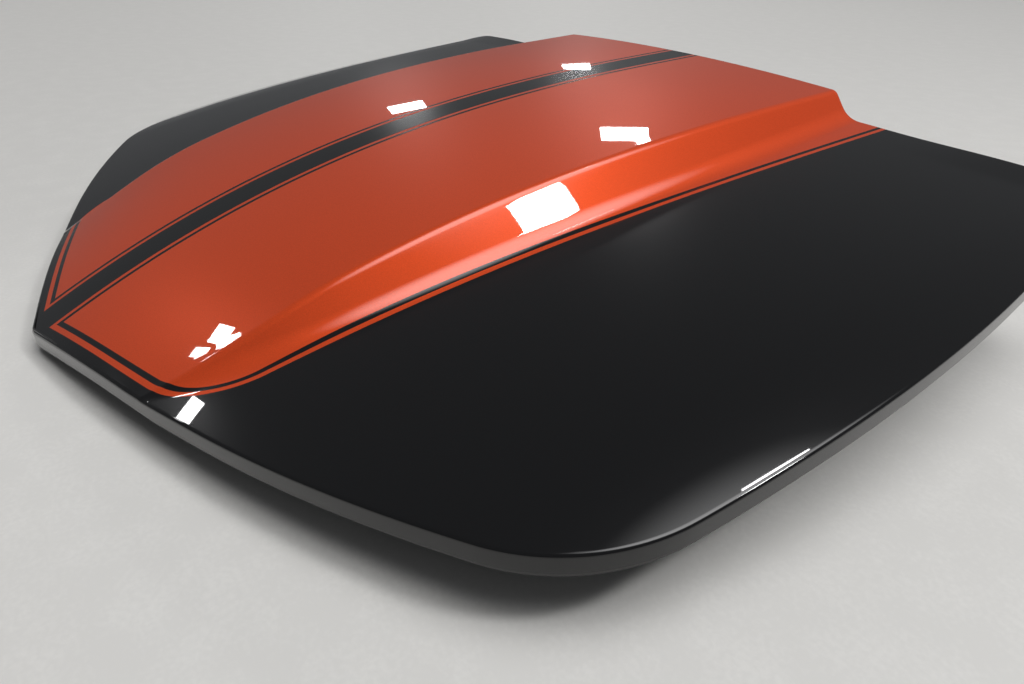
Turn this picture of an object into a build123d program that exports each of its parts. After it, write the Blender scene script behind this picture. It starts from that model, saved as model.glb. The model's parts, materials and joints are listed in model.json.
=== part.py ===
from build123d import *
import os
from math import acos, cos, hypot, radians, sin, sqrt, tan

# Bonnet assembly of a muscle car: outer skin with a raised centre bulge, inner frame, hinges,
# gas struts, striker and seals. +Z is up, the nose points to -Y, and the car's left is +X.
# The origin is the middle of the four bolts that hold the two hinge bases to the body.
# Heights and lengths along the car are named from the nose tip of the skin unless said.

# Outline of the skin from above: front points (across, back from the nose)
centre_length = 1195
front_quarter = (200, 54.5)
front_middle = (400, 119.5)
front_outer = (600, 204.6)
front_corner = (791, 315.5)
side_widest = (819, 640)
nose_radius = 24
front_corner_radius = 210

# Rear points of the outline (across, back from the middle of the rear edge)
side_rear = (805.5, -295)
rear_corner = (770, 25)
rear_middle = (580, 8)
rear_straight = 360
rear_corner_radius = 40

# Height of the skin along the centre line: the flat base and the top of the bulge
base_rise = 218
base_nose_slope = 0.346
base_cowl_slope = 0.100
top_rise = 263
top_nose_slope = 0.561
top_cowl_slope = 0.064
base_crown_radius = 10200
edge_roll_start = 700
edge_roll_radius = 1000

# Place of the nose tip in the part's frame, from how far the rear edge is behind and above the bolts
rear_behind_bolts = 75
rear_above_bolts = 140
nose_y = rear_behind_bolts - centre_length
nose_z = rear_above_bolts - base_rise

# The bulge: its upper edge, its side slope and its rounded edges
crease_nose = 308
crease_widening = 0.063
crease_narrowing = 0.000026
bulge_crown_share = 0.09
bulge_least_height = 0.4
side_angle = 50
crease_radius = 16
foot_radius = 45

# Cross-sections of the skin, back from the nose: evenly spread, so that the loft stays smooth
form_margin = 41
stations = (-100, 80, 250, 460, 720, 1000, centre_length + 105)
form_half_width = side_widest[0] + form_margin
form_floor = -260
over_height = 20

# Sheet metal
skin_thickness = 2.0
hem_depth = 20
bond_gap = 0.5
frame_thickness = 2.0
frame_depth = 26
frame_inset = skin_thickness + bond_gap
seat_gap = 0.3

# Windows of the inner frame on the left: (front, rear, inner x at front, inner x at rear, outer x)
frame_windows = (
    (345, 470, 432, 440, 668),
    (520, 645, 444, 452, 690),
    (705, 825, 456, 462, 668),
    (880, 1030, 466, 474, 640),
)
window_radius = 28

# Insulation pad under the bulge
pad_front = 205
pad_rear = centre_length - 135
pad_half_front = 240
pad_half_rear = 290
pad_thickness = 9
pad_radius = 60

# Seals and rubber stops
front_seal_inset = 24
seal_width = 14
seal_height = 13
front_seal_rear = 330
cowl_seal_inset = 16
cowl_seal_front = centre_length - 65
stop_radius = 12
stop_foot_radius = 9
stop_height = 16
stop_places = ((300, 150), (655, 345), (745, 800))

# Striker, its plate and the safety catch, at the nose
striker_y = 150
striker_bar = 8
striker_thickness = 6
striker_span = 44
striker_drop = 36
plate_thickness = 2.5
latch_plate_width = 210
latch_plate_length = 88
latch_plate_y = 140
latch_plate_radius = 14
catch_y = 118
catch_thickness = 3
catch_width = 28
catch_neck = 15
catch_drop = 60
catch_throat = 46
catch_reach = 24
catch_lip = 7

# Hinges
hinge_y = 30
hinge_z = 50
pin_radius = 5
pin_clearance = 0.05
pin_head_radius = 8
pin_head = 2.5
hinge_plate = 3
hinge_eye_radius = 14
base_web_x = 700
arm_web_x = 694
base_flange_width = 50
base_flange_length = 120
bolt_x = 727
stud_eye_radius = 12
bolt_spacing_y = 70
bolt_hole_radius = 4.5
arm_front = -130
arm_flange_width = 37
arm_flange_end = 5
arm_web_depth = 10

# Gas struts: the tube's ball on the bonnet and the rod's ball on the hinge base
strut_x = 680
ball_radius = 4
ball_neck_radius = 2.6
stud_shank_radius = 3
stud_flange = 2
stud_head = 4
tube_ball_y = -280
tube_ball_z = 27
rod_lever = 72
rod_lever_angle = 15
tube_radius = 9
tube_length = 205
rod_radius = 4
socket_wall = 2.4
socket_neck = 3
socket_length = 12
tube_socket_clearance = 0.1
rod_eye_drift = 3.9
rod_eye_clearance = 0.5
rod_eye_floor = 1
rod_eye_wall = 2.4
rod_start = 130
bore_end_gap = 12
slide_clearance = 0.05
bracket_length = 50
bracket_width = 40
bracket_web_end = 3
bracket_web_depth = 4
bracket_eye_radius = 9


def rise_at(y, rise, nose_slope, cowl_slope):
    """Height of a smooth line with the given rise and end slopes, at y back from the nose."""
    t = y / centre_length
    start = centre_length * nose_slope * (t - 2 * t**2 + t**3)
    end = centre_length * cowl_slope * (t**3 - t**2)
    return start + end + rise * (3 * t**2 - 2 * t**3)


def base_height(x, y):
    """Height of the skin with no bulge, above the nose tip."""
    along = rise_at(y, base_rise, base_nose_slope, base_cowl_slope)
    crown = x**2 / (2 * base_crown_radius)
    roll = max(0, abs(x) - edge_roll_start) ** 2 / (2 * edge_roll_radius)
    return along - crown - roll


def bulge_height(y):
    """Height of the bulge above the base on the centre line."""
    top = rise_at(y, top_rise, top_nose_slope, top_cowl_slope)
    base = rise_at(y, base_rise, base_nose_slope, base_cowl_slope)
    return max(bulge_least_height, top - base)


def bulge_turns(y):
    """Where the bulge's side starts and stops turning: four distances from the centre line."""
    crease = crease_nose + crease_widening * y - crease_narrowing * y**2
    side = bulge_height(y) * (1 - bulge_crown_share)
    radii = crease_radius + foot_radius
    angle = min(radians(side_angle), acos(1 - min(1, 0.9 * side / radii)))
    upper = crease_radius * tan(angle / 2)
    lower = foot_radius * tan(angle / 2)
    foot = crease + side / tan(angle)
    return (crease - upper, crease + upper * cos(angle), foot - lower * cos(angle), foot + lower), angle


def skin_height(x, y):
    """Height of the skin's outer face above the nose tip."""
    (start, slope_start, slope_end, stop), angle = bulge_turns(y)
    top = bulge_height(y)
    x = abs(x)
    side = top * (1 - bulge_crown_share)
    if x <= start:
        extra = top - top * bulge_crown_share * (x / start) ** 2
    elif x <= slope_start:
        extra = side - crease_radius + sqrt(crease_radius**2 - (x - start) ** 2)
    elif x <= slope_end:
        upper = crease_radius * (1 - cos(angle))
        extra = side - upper - (x - slope_start) * tan(angle)
    elif x <= stop:
        extra = foot_radius - sqrt(foot_radius**2 - (stop - x) ** 2)
    else:
        extra = 0
    return base_height(x, y) + extra


def frame_floor(x, y):
    """Height of the inner frame's lower face in the part's frame, at part coordinates x and y."""
    return base_height(x, y - nose_y) - frame_depth + nose_z


def floor_plane(x, y, drop):
    """Plane that lies along the inner frame's lower face at (x, y), lowered by drop."""
    step = 10
    tilt_x = (frame_floor(x + step, y) - frame_floor(x - step, y)) / (2 * step)
    tilt_y = (frame_floor(x, y + step) - frame_floor(x, y - step)) / (2 * step)
    return Plane(
        origin=(x, y, frame_floor(x, y) - drop),
        x_dir=(1, 0, tilt_x),
        z_dir=(-tilt_x, -tilt_y, 1),
    )


def ball_profile(runs):
    """Half outline of a ball stud: a ball at the local origin, then shanks of (end, radius)."""
    start = sqrt(ball_radius**2 - runs[0][1] ** 2)
    middle = ball_radius * sqrt(0.5)
    ThreePointArc((-ball_radius, 0), (-middle, middle), (0, ball_radius))
    ThreePointArc(
        (0, ball_radius), (ball_radius * sin(0.4), ball_radius * cos(0.4)), (start, runs[0][1])
    )
    points = [(start, runs[0][1])]
    for end, radius in runs:
        points += [(points[-1][0], radius), (end, radius)]
    Polyline(*dict.fromkeys(points), (points[-1][0], 0), (-ball_radius, 0))


def outline_edges():
    """Edges of the skin's plan outline, drawn in the sketch that is open."""
    for side in (1, -1):
        nose = (0, nose_y)
        front_points = (front_quarter, front_middle, front_outer, front_corner, side_widest)
        rear_points = (side_rear, rear_corner, rear_middle, (rear_straight, 0))
        points = [(side * x, y + nose_y) for x, y in front_points]
        points += [(side * x, y + rear_behind_bolts) for x, y in rear_points]
        quarter, middle, outer, corner, widest, side_end, rear, back, straight = points
        ThreePointArc(nose, quarter, middle)
        ThreePointArc(middle, outer, corner)
        ThreePointArc(corner, widest, side_end)
        Line(side_end, rear)
        ThreePointArc(rear, back, straight)
    Line((rear_straight, rear_behind_bolts), (-rear_straight, rear_behind_bolts))


# Plan outline of the skin, as a flat face
with BuildSketch() as outline:
    with BuildLine():
        outline_edges()
    make_face()
    fillet(outline.vertices().sort_by(Axis.Y)[:1], nose_radius)
    front_corners = [v for v in outline.vertices() if abs(v.Y - nose_y - front_corner[1]) < 1]
    fillet(front_corners, front_corner_radius)
    rear_corners = [v for v in outline.vertices() if abs(v.Y - rear_behind_bolts - rear_corner[1]) < 1]
    fillet(rear_corners, rear_corner_radius)

# Solid under the skin's outer face, from which every sheet that follows the skin is cut
with BuildPart() as form:
    for station in stations:
        turns, _ = bulge_turns(station)
        knots = (*turns, edge_roll_start, form_half_width)
        with BuildSketch(Plane.XZ.offset(-(station + nose_y))):
            with BuildLine():
                start = knots[0]
                height = skin_height(start, station) + nose_z
                ThreePointArc((-start, height), (0, skin_height(0, station) + nose_z), (start, height))
                for side in (1, -1):
                    for inner, outer in zip(knots, knots[1:]):
                        middle = (inner + outer) / 2
                        run = (inner, middle, outer)
                        ends = [(side * x, skin_height(x, station) + nose_z) for x in run]
                        if inner == turns[1]:
                            Line(ends[0], ends[2])
                        else:
                            ThreePointArc(*ends)
                    edge = skin_height(form_half_width, station) + nose_z
                    Line((side * form_half_width, edge), (side * form_half_width, form_floor))
                Line((form_half_width, form_floor), (-form_half_width, form_floor))
            make_face()
    loft()


def lowered(depth):
    """The form's solid moved down, outside any part that is being built."""
    return form.part.moved(Location((0, 0, -depth)))


def cut_from_form(top, bottom):
    """Keep of the part that is open only what lies between two depths under the skin's face."""
    add(lowered(top), mode=Mode.INTERSECT)
    add(lowered(bottom), mode=Mode.SUBTRACT)


prism_base = Plane.XY.offset(form_floor + form_margin)
prism_height = top_rise - form_floor
seat_depth = frame_depth + seat_gap

# Outer skin: a sheet with a turned-down hem all round
with BuildPart() as skin_solid:
    with BuildSketch(prism_base):
        add(outline.sketch)
    extrude(amount=prism_height)
    cut_from_form(0, hem_depth)
with BuildPart() as skin_hollow:
    with BuildSketch(prism_base):
        add(outline.sketch)
        offset(amount=-skin_thickness, mode=Mode.REPLACE)
    extrude(amount=prism_height)
    add(lowered(skin_thickness), mode=Mode.INTERSECT)
with BuildPart() as outer_skin:
    add(skin_solid.part)
    add(skin_hollow.part, mode=Mode.SUBTRACT)

# Windows of the inner frame, and the same windows with their turned-up rims
with BuildSketch() as windows:
    for front, rear, inner_front, inner_rear, outer in frame_windows:
        with BuildLine():
            Polyline(
                (inner_front, front + nose_y), (outer, front + nose_y),
                (outer, rear + nose_y), (inner_rear, rear + nose_y), close=True,
            )
        make_face()
    fillet(windows.vertices(), window_radius)
    mirror(about=Plane.YZ)
with BuildSketch() as window_rims:
    add(windows.sketch)
    offset(amount=frame_thickness, mode=Mode.REPLACE)

# Inner frame: a pressed pan under the skin, with rims at its edge and around its windows
with BuildPart() as frame_solid:
    with BuildSketch(prism_base):
        add(outline.sketch)
        offset(amount=-frame_inset, mode=Mode.REPLACE)
        add(windows.sketch, mode=Mode.SUBTRACT)
    extrude(amount=prism_height)
    cut_from_form(frame_inset, frame_depth)
with BuildPart() as frame_hollow:
    with BuildSketch(prism_base):
        add(outline.sketch)
        offset(amount=-frame_inset - frame_thickness, mode=Mode.REPLACE)
        add(window_rims.sketch, mode=Mode.SUBTRACT)
    extrude(amount=prism_height)
    add(lowered(frame_depth - frame_thickness), mode=Mode.SUBTRACT)
with BuildPart() as inner_frame:
    add(frame_solid.part)
    add(frame_hollow.part, mode=Mode.SUBTRACT)

# Insulation pad, held against the pan under the bulge
with BuildPart() as insulation_pad:
    with BuildSketch(prism_base) as pad_plan:
        with BuildLine():
            Polyline(
                (pad_half_front, pad_front + nose_y), (pad_half_rear, pad_rear + nose_y),
                (-pad_half_rear, pad_rear + nose_y), (-pad_half_front, pad_front + nose_y),
                close=True,
            )
        make_face()
        fillet(pad_plan.vertices(), pad_radius)
    extrude(amount=prism_height)
    cut_from_form(seat_depth, seat_depth + pad_thickness)

# Rubber seals on the pan: one behind the front edge, one along the cowl edge
seal_runs = (
    (front_seal_inset, 0, front_seal_rear),
    (cowl_seal_inset, cowl_seal_front, 2 * centre_length),
)
seal_plans = []
for inset, front, rear in seal_runs:
    with BuildSketch() as within:
        add(outline.sketch)
        offset(amount=-inset - seal_width, mode=Mode.REPLACE)
    with BuildSketch() as strip:
        add(outline.sketch)
        offset(amount=-inset, mode=Mode.REPLACE)
        add(within.sketch, mode=Mode.SUBTRACT)
        with Locations((0, nose_y + (front + rear) / 2)):
            Rectangle(2 * form_half_width, rear - front, mode=Mode.INTERSECT)
    seal_plans.append(strip)
with BuildPart() as front_seal:
    with BuildSketch(prism_base):
        add(seal_plans[0].sketch)
    extrude(amount=prism_height)
    cut_from_form(seat_depth, seat_depth + seal_height)
with BuildPart() as cowl_seal:
    with BuildSketch(prism_base):
        add(seal_plans[1].sketch)
    extrude(amount=prism_height)
    cut_from_form(seat_depth, seat_depth + seal_height)

# Rubber stops under the pan, in pairs
with BuildPart() as bump_stops:
    for x, y in stop_places:
        foot = skin_height(x, y) + nose_z - frame_depth - stop_height
        for side in (1, -1):
            with Locations((side * x, y + nose_y, foot)):
                Cone(
                    stop_foot_radius, stop_radius, stop_height + over_height,
                    align=(Align.CENTER, Align.CENTER, Align.MIN),
                )
    add(lowered(seat_depth), mode=Mode.INTERSECT)

# Latch plate, striker loop and safety catch at the nose
latch_depth = seat_depth + plate_thickness + seat_gap
latch_z = skin_height(0, striker_y) + nose_z - latch_depth
with BuildPart() as latch_plate:
    with BuildSketch(prism_base):
        with Locations((0, latch_plate_y + nose_y)):
            RectangleRounded(latch_plate_width, latch_plate_length, latch_plate_radius)
    extrude(amount=prism_height)
    cut_from_form(seat_depth, seat_depth + plate_thickness)
with BuildPart() as striker:
    with BuildSketch(Plane.XZ.offset(-(striker_y + nose_y + striker_thickness / 2))):
        for edge, mode in ((striker_bar / 2, Mode.ADD), (-striker_bar / 2, Mode.SUBTRACT)):
            height = striker_drop + over_height + edge
            with Locations((0, latch_z - striker_drop + height / 2 - edge)):
                RectangleRounded(striker_span + 2 * edge, height, striker_bar + edge, mode=mode)
    extrude(amount=striker_thickness)
    add(lowered(latch_depth), mode=Mode.INTERSECT)
with BuildPart() as safety_catch:
    with BuildSketch(Plane.YZ.offset(-catch_thickness / 2)):
        y = catch_y + nose_y
        toe = latch_z - catch_drop
        throat = latch_z - catch_throat
        with BuildLine():
            Polyline(
                (y - catch_width / 2, latch_z + over_height),
                (y + catch_width / 2, latch_z + over_height),
                (y + catch_neck / 2, throat), (y, toe), (y - catch_reach, toe),
                (y - catch_reach, toe + catch_lip), (y - catch_neck / 2, throat), close=True,
            )
        make_face()
    extrude(amount=catch_thickness)
    add(lowered(latch_depth), mode=Mode.INTERSECT)

# Left hinge base: a bolted flange and a web that carries the pivot and the rod's ball stud
rod_ball_y = hinge_y - rod_lever * sin(radians(rod_lever_angle))
rod_ball_z = hinge_z - rod_lever * cos(radians(rod_lever_angle))
with BuildPart() as hinge_base_left:
    with BuildSketch():
        with Locations((base_web_x + base_flange_width / 2, 0)):
            Rectangle(base_flange_width, base_flange_length)
    extrude(amount=hinge_plate)
    with BuildSketch(Plane.YZ.offset(base_web_x)):
        with Locations((hinge_y, hinge_z)):
            Circle(hinge_eye_radius)
        with Locations((rod_ball_y, rod_ball_z)):
            Circle(stud_eye_radius)
        with Locations((0, hinge_plate)):
            Rectangle(base_flange_length, 2 * hinge_plate)
        make_hull()
    extrude(amount=hinge_plate)
    with BuildSketch(Plane.YZ.offset(base_web_x)):
        with Locations((hinge_y, hinge_z)):
            Circle(pin_radius + pin_clearance)
        with Locations((rod_ball_y, rod_ball_z)):
            Circle(stud_shank_radius + pin_clearance)
    extrude(amount=hinge_plate, mode=Mode.SUBTRACT)
    with BuildSketch():
        with Locations((bolt_x, bolt_spacing_y / 2), (bolt_x, -bolt_spacing_y / 2)):
            Circle(bolt_hole_radius)
    extrude(amount=hinge_plate, mode=Mode.SUBTRACT)

# Left hinge arm: a flange under the pan and a web that turns on the pin
arm_rear = hinge_y - arm_flange_end
arm_middle_x = arm_web_x + hinge_plate - arm_flange_width / 2
with BuildPart() as hinge_arm_left:
    with BuildSketch(floor_plane(arm_middle_x, (arm_front + arm_rear) / 2, seat_gap)):
        Rectangle(arm_flange_width, arm_rear - arm_front)
    extrude(amount=-hinge_plate)
    web_top = [frame_floor(arm_web_x, y) - seat_gap - hinge_plate / 2 for y in (arm_front, arm_rear)]
    with BuildSketch(Plane.YZ.offset(arm_web_x)):
        with Locations((hinge_y, hinge_z)):
            Circle(hinge_eye_radius)
        with BuildLine():
            Polyline(
                (arm_front, web_top[0]), (arm_rear, web_top[1]),
                (arm_rear, web_top[1] - arm_web_depth), (arm_front, web_top[0] - arm_web_depth),
                close=True,
            )
        make_face()
        make_hull()
    extrude(amount=hinge_plate)
    with BuildSketch(Plane.YZ.offset(arm_web_x)):
        with Locations((hinge_y, hinge_z)):
            Circle(pin_radius + pin_clearance)
    extrude(amount=hinge_plate, mode=Mode.SUBTRACT)

# Left hinge pin, with its head, its collar between the two webs and its nut
nut_x = base_web_x + hinge_plate + seat_gap
pin_runs = (
    (arm_web_x - seat_gap - pin_head, arm_web_x - seat_gap, pin_head_radius),
    (arm_web_x - seat_gap, nut_x, pin_radius),
    (arm_web_x + hinge_plate + seat_gap, base_web_x - seat_gap, pin_head_radius),
    (nut_x, nut_x + 2 * pin_head, pin_head_radius),
)
with BuildPart() as hinge_pin_left:
    for start, end, radius in pin_runs:
        with BuildSketch(Plane.YZ.offset(start)):
            with Locations((hinge_y, hinge_z)):
                Circle(radius)
        extrude(amount=end - start)

# Left ball stud of the rod, held in the base's web
web_gap = base_web_x - strut_x
stud_runs = (
    (web_gap - seat_gap - stud_flange, ball_neck_radius),
    (web_gap - seat_gap, 2 * stud_shank_radius),
    (web_gap + hinge_plate + seat_gap, stud_shank_radius),
    (web_gap + hinge_plate + seat_gap + stud_head, 2 * stud_shank_radius),
)
rod_ball = Plane(origin=(strut_x, rod_ball_y, rod_ball_z))
with BuildPart() as base_stud_left:
    with BuildSketch(rod_ball):
        with BuildLine():
            ball_profile(stud_runs)
        make_face()
    revolve(axis=Axis(rod_ball.origin, (1, 0, 0)))

# Left bracket under the pan, with the tube's ball stud
bracket_x = base_web_x - hinge_plate
tube_ball = Plane(origin=(strut_x, tube_ball_y, tube_ball_z))
with BuildPart() as strut_bracket_left:
    with BuildSketch(floor_plane(bracket_x, tube_ball_y, seat_gap)):
        Rectangle(bracket_width, bracket_length)
    extrude(amount=-hinge_plate)
    half = bracket_length / 2 - bracket_web_end
    ends = (tube_ball_y - half, tube_ball_y + half)
    tops = [frame_floor(bracket_x, y) - seat_gap - hinge_plate / 2 for y in ends]
    with BuildSketch(Plane.YZ.offset(bracket_x)):
        with Locations((tube_ball_y, tube_ball_z)):
            Circle(bracket_eye_radius)
        with BuildLine():
            Polyline(
                (ends[0], tops[0]), (ends[1], tops[1]), (ends[1], tops[1] - bracket_web_depth),
                (ends[0], tops[0] - bracket_web_depth), close=True,
            )
        make_face()
        make_hull()
    extrude(amount=hinge_plate)
    with BuildSketch(tube_ball):
        with BuildLine():
            ball_profile([(bracket_x - strut_x + hinge_plate / 2, ball_neck_radius)])
        make_face()
    revolve(axis=Axis(tube_ball.origin, (1, 0, 0)))

# Left gas strut: the tube hangs on the bonnet's ball and the rod's socket is over the base's ball
strut_run = hypot(rod_ball_y - tube_ball_y, rod_ball_z - tube_ball_z)
strut_plane = Plane(
    origin=(strut_x, tube_ball_y, tube_ball_z),
    x_dir=(1, 0, 0),
    z_dir=(0, rod_ball_y - tube_ball_y, rod_ball_z - tube_ball_z),
)
tube_socket_radius = ball_radius + tube_socket_clearance
rod_socket_radius = ball_radius + rod_eye_drift + rod_eye_clearance
tube_start = tube_socket_radius + socket_wall + socket_neck
tube_end = tube_start + tube_length
with BuildPart() as strut_tube_left:
    with BuildSketch(strut_plane.offset(tube_start)):
        Circle(tube_radius)
    extrude(amount=tube_length)
    with BuildSketch(strut_plane):
        Circle(ball_radius)
    extrude(amount=tube_start)
    with BuildSketch(Plane.YZ.offset(strut_x - socket_length / 2)):
        with Locations((tube_ball_y, tube_ball_z)):
            Circle(tube_socket_radius + socket_wall)
    extrude(amount=socket_length)
    with BuildSketch(tube_ball):
        with BuildLine():
            deep = tube_socket_radius * sqrt(0.5)
            ThreePointArc((-tube_socket_radius, 0), (-deep, deep), (0, tube_socket_radius))
            Polyline(
                (0, tube_socket_radius), (socket_length, tube_socket_radius), (socket_length, 0),
                (-tube_socket_radius, 0),
            )
        make_face()
    revolve(axis=Axis(tube_ball.origin, (1, 0, 0)), mode=Mode.SUBTRACT)
    with BuildSketch(strut_plane.offset(rod_start - bore_end_gap)):
        Circle(rod_radius + slide_clearance)
    extrude(amount=tube_end - rod_start + bore_end_gap, mode=Mode.SUBTRACT)
rod_socket_half = rod_socket_radius - rod_eye_floor
with BuildPart() as strut_rod_left:
    with BuildSketch(strut_plane.offset(rod_start)):
        Circle(rod_radius)
    extrude(amount=strut_run - rod_start)
    with BuildSketch(Plane.YZ.offset(strut_x - rod_socket_half - rod_eye_wall)):
        with Locations((rod_ball_y, rod_ball_z)):
            Circle(rod_socket_radius + rod_eye_wall)
    extrude(amount=2 * rod_socket_half + rod_eye_wall - rod_eye_floor)
    with BuildSketch(Plane.YZ.offset(strut_x - rod_socket_half)):
        with Locations((rod_ball_y, rod_ball_z)):
            Circle(rod_socket_radius)
    extrude(amount=3 * rod_socket_half, mode=Mode.SUBTRACT)

# Every left piece has its mirror image on the right
left_pieces = {
    "hinge_base": hinge_base_left,
    "hinge_arm": hinge_arm_left,
    "hinge_pin": hinge_pin_left,
    "base_stud": base_stud_left,
    "strut_bracket": strut_bracket_left,
    "strut_tube": strut_tube_left,
    "strut_rod": strut_rod_left,
}
pieces = {
    "outer_skin": outer_skin,
    "inner_frame": inner_frame,
    "insulation_pad": insulation_pad,
    "front_seal": front_seal,
    "cowl_seal": cowl_seal,
    "bump_stops": bump_stops,
    "latch_plate": latch_plate,
    "striker": striker,
    "safety_catch": safety_catch,
}
for name, piece in left_pieces.items():
    with BuildPart() as mirrored:
        add(piece.part)
        mirror(about=Plane.YZ, mode=Mode.REPLACE)
    pieces[name + "_left"] = piece
    pieces[name + "_right"] = mirrored

os.makedirs("parts", exist_ok=True)
for name, piece in pieces.items():
    piece.part.label = name
    export_step(piece.part, f"parts/{name}.step")
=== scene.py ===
"""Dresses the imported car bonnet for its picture: paint, stripes, pad, seals and fasteners.

Lengths are in millimetres until a mesh is written, in the part's frame: +Z up, the nose of
the bonnet points to -Y and the car's left is +X. Plan curves are counted from the nose tip.
"""

import json
import logging
from dataclasses import dataclass
from enum import Enum

import bpy
import numpy as np
from mathutils import Matrix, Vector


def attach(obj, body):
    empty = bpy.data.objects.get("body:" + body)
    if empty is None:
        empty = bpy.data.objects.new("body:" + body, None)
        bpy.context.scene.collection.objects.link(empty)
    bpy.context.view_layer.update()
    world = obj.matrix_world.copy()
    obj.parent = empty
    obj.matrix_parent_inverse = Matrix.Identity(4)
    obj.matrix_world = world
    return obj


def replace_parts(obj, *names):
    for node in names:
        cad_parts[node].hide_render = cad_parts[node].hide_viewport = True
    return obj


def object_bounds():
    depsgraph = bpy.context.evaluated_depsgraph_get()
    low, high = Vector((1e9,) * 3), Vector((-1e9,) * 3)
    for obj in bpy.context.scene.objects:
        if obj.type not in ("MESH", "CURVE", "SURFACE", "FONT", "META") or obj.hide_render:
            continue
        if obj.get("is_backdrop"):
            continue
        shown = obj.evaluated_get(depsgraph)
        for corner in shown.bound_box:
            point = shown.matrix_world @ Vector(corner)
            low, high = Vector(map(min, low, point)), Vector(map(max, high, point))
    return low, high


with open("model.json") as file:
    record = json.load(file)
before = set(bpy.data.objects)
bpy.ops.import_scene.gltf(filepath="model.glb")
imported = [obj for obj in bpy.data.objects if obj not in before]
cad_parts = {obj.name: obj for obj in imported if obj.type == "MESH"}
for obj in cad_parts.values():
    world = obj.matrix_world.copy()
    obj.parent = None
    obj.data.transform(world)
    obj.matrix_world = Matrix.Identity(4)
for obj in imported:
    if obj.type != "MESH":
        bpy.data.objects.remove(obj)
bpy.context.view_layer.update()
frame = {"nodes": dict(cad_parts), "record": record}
LOG = logging.getLogger("bonnet")
MM = 0.001
SHARP_ANGLE = np.radians(35)
# Depth of the inner frame's lower face under the skin's outer face, where pieces seat.
PAN_DEPTH = 26.3
# Polynomials of the stripe's outer edge over y, and of the skin's front edge over x.
STRIPE_EDGE = (348.45, 0.090288, -6.489e-6)
FRONT_EDGE = (0.0, 0.2702, -2.154e-5, 2.3303e-7)


class Side(Enum):
    """The two sides of the car, as the sign of X."""

    LEFT = 1
    RIGHT = -1


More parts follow.
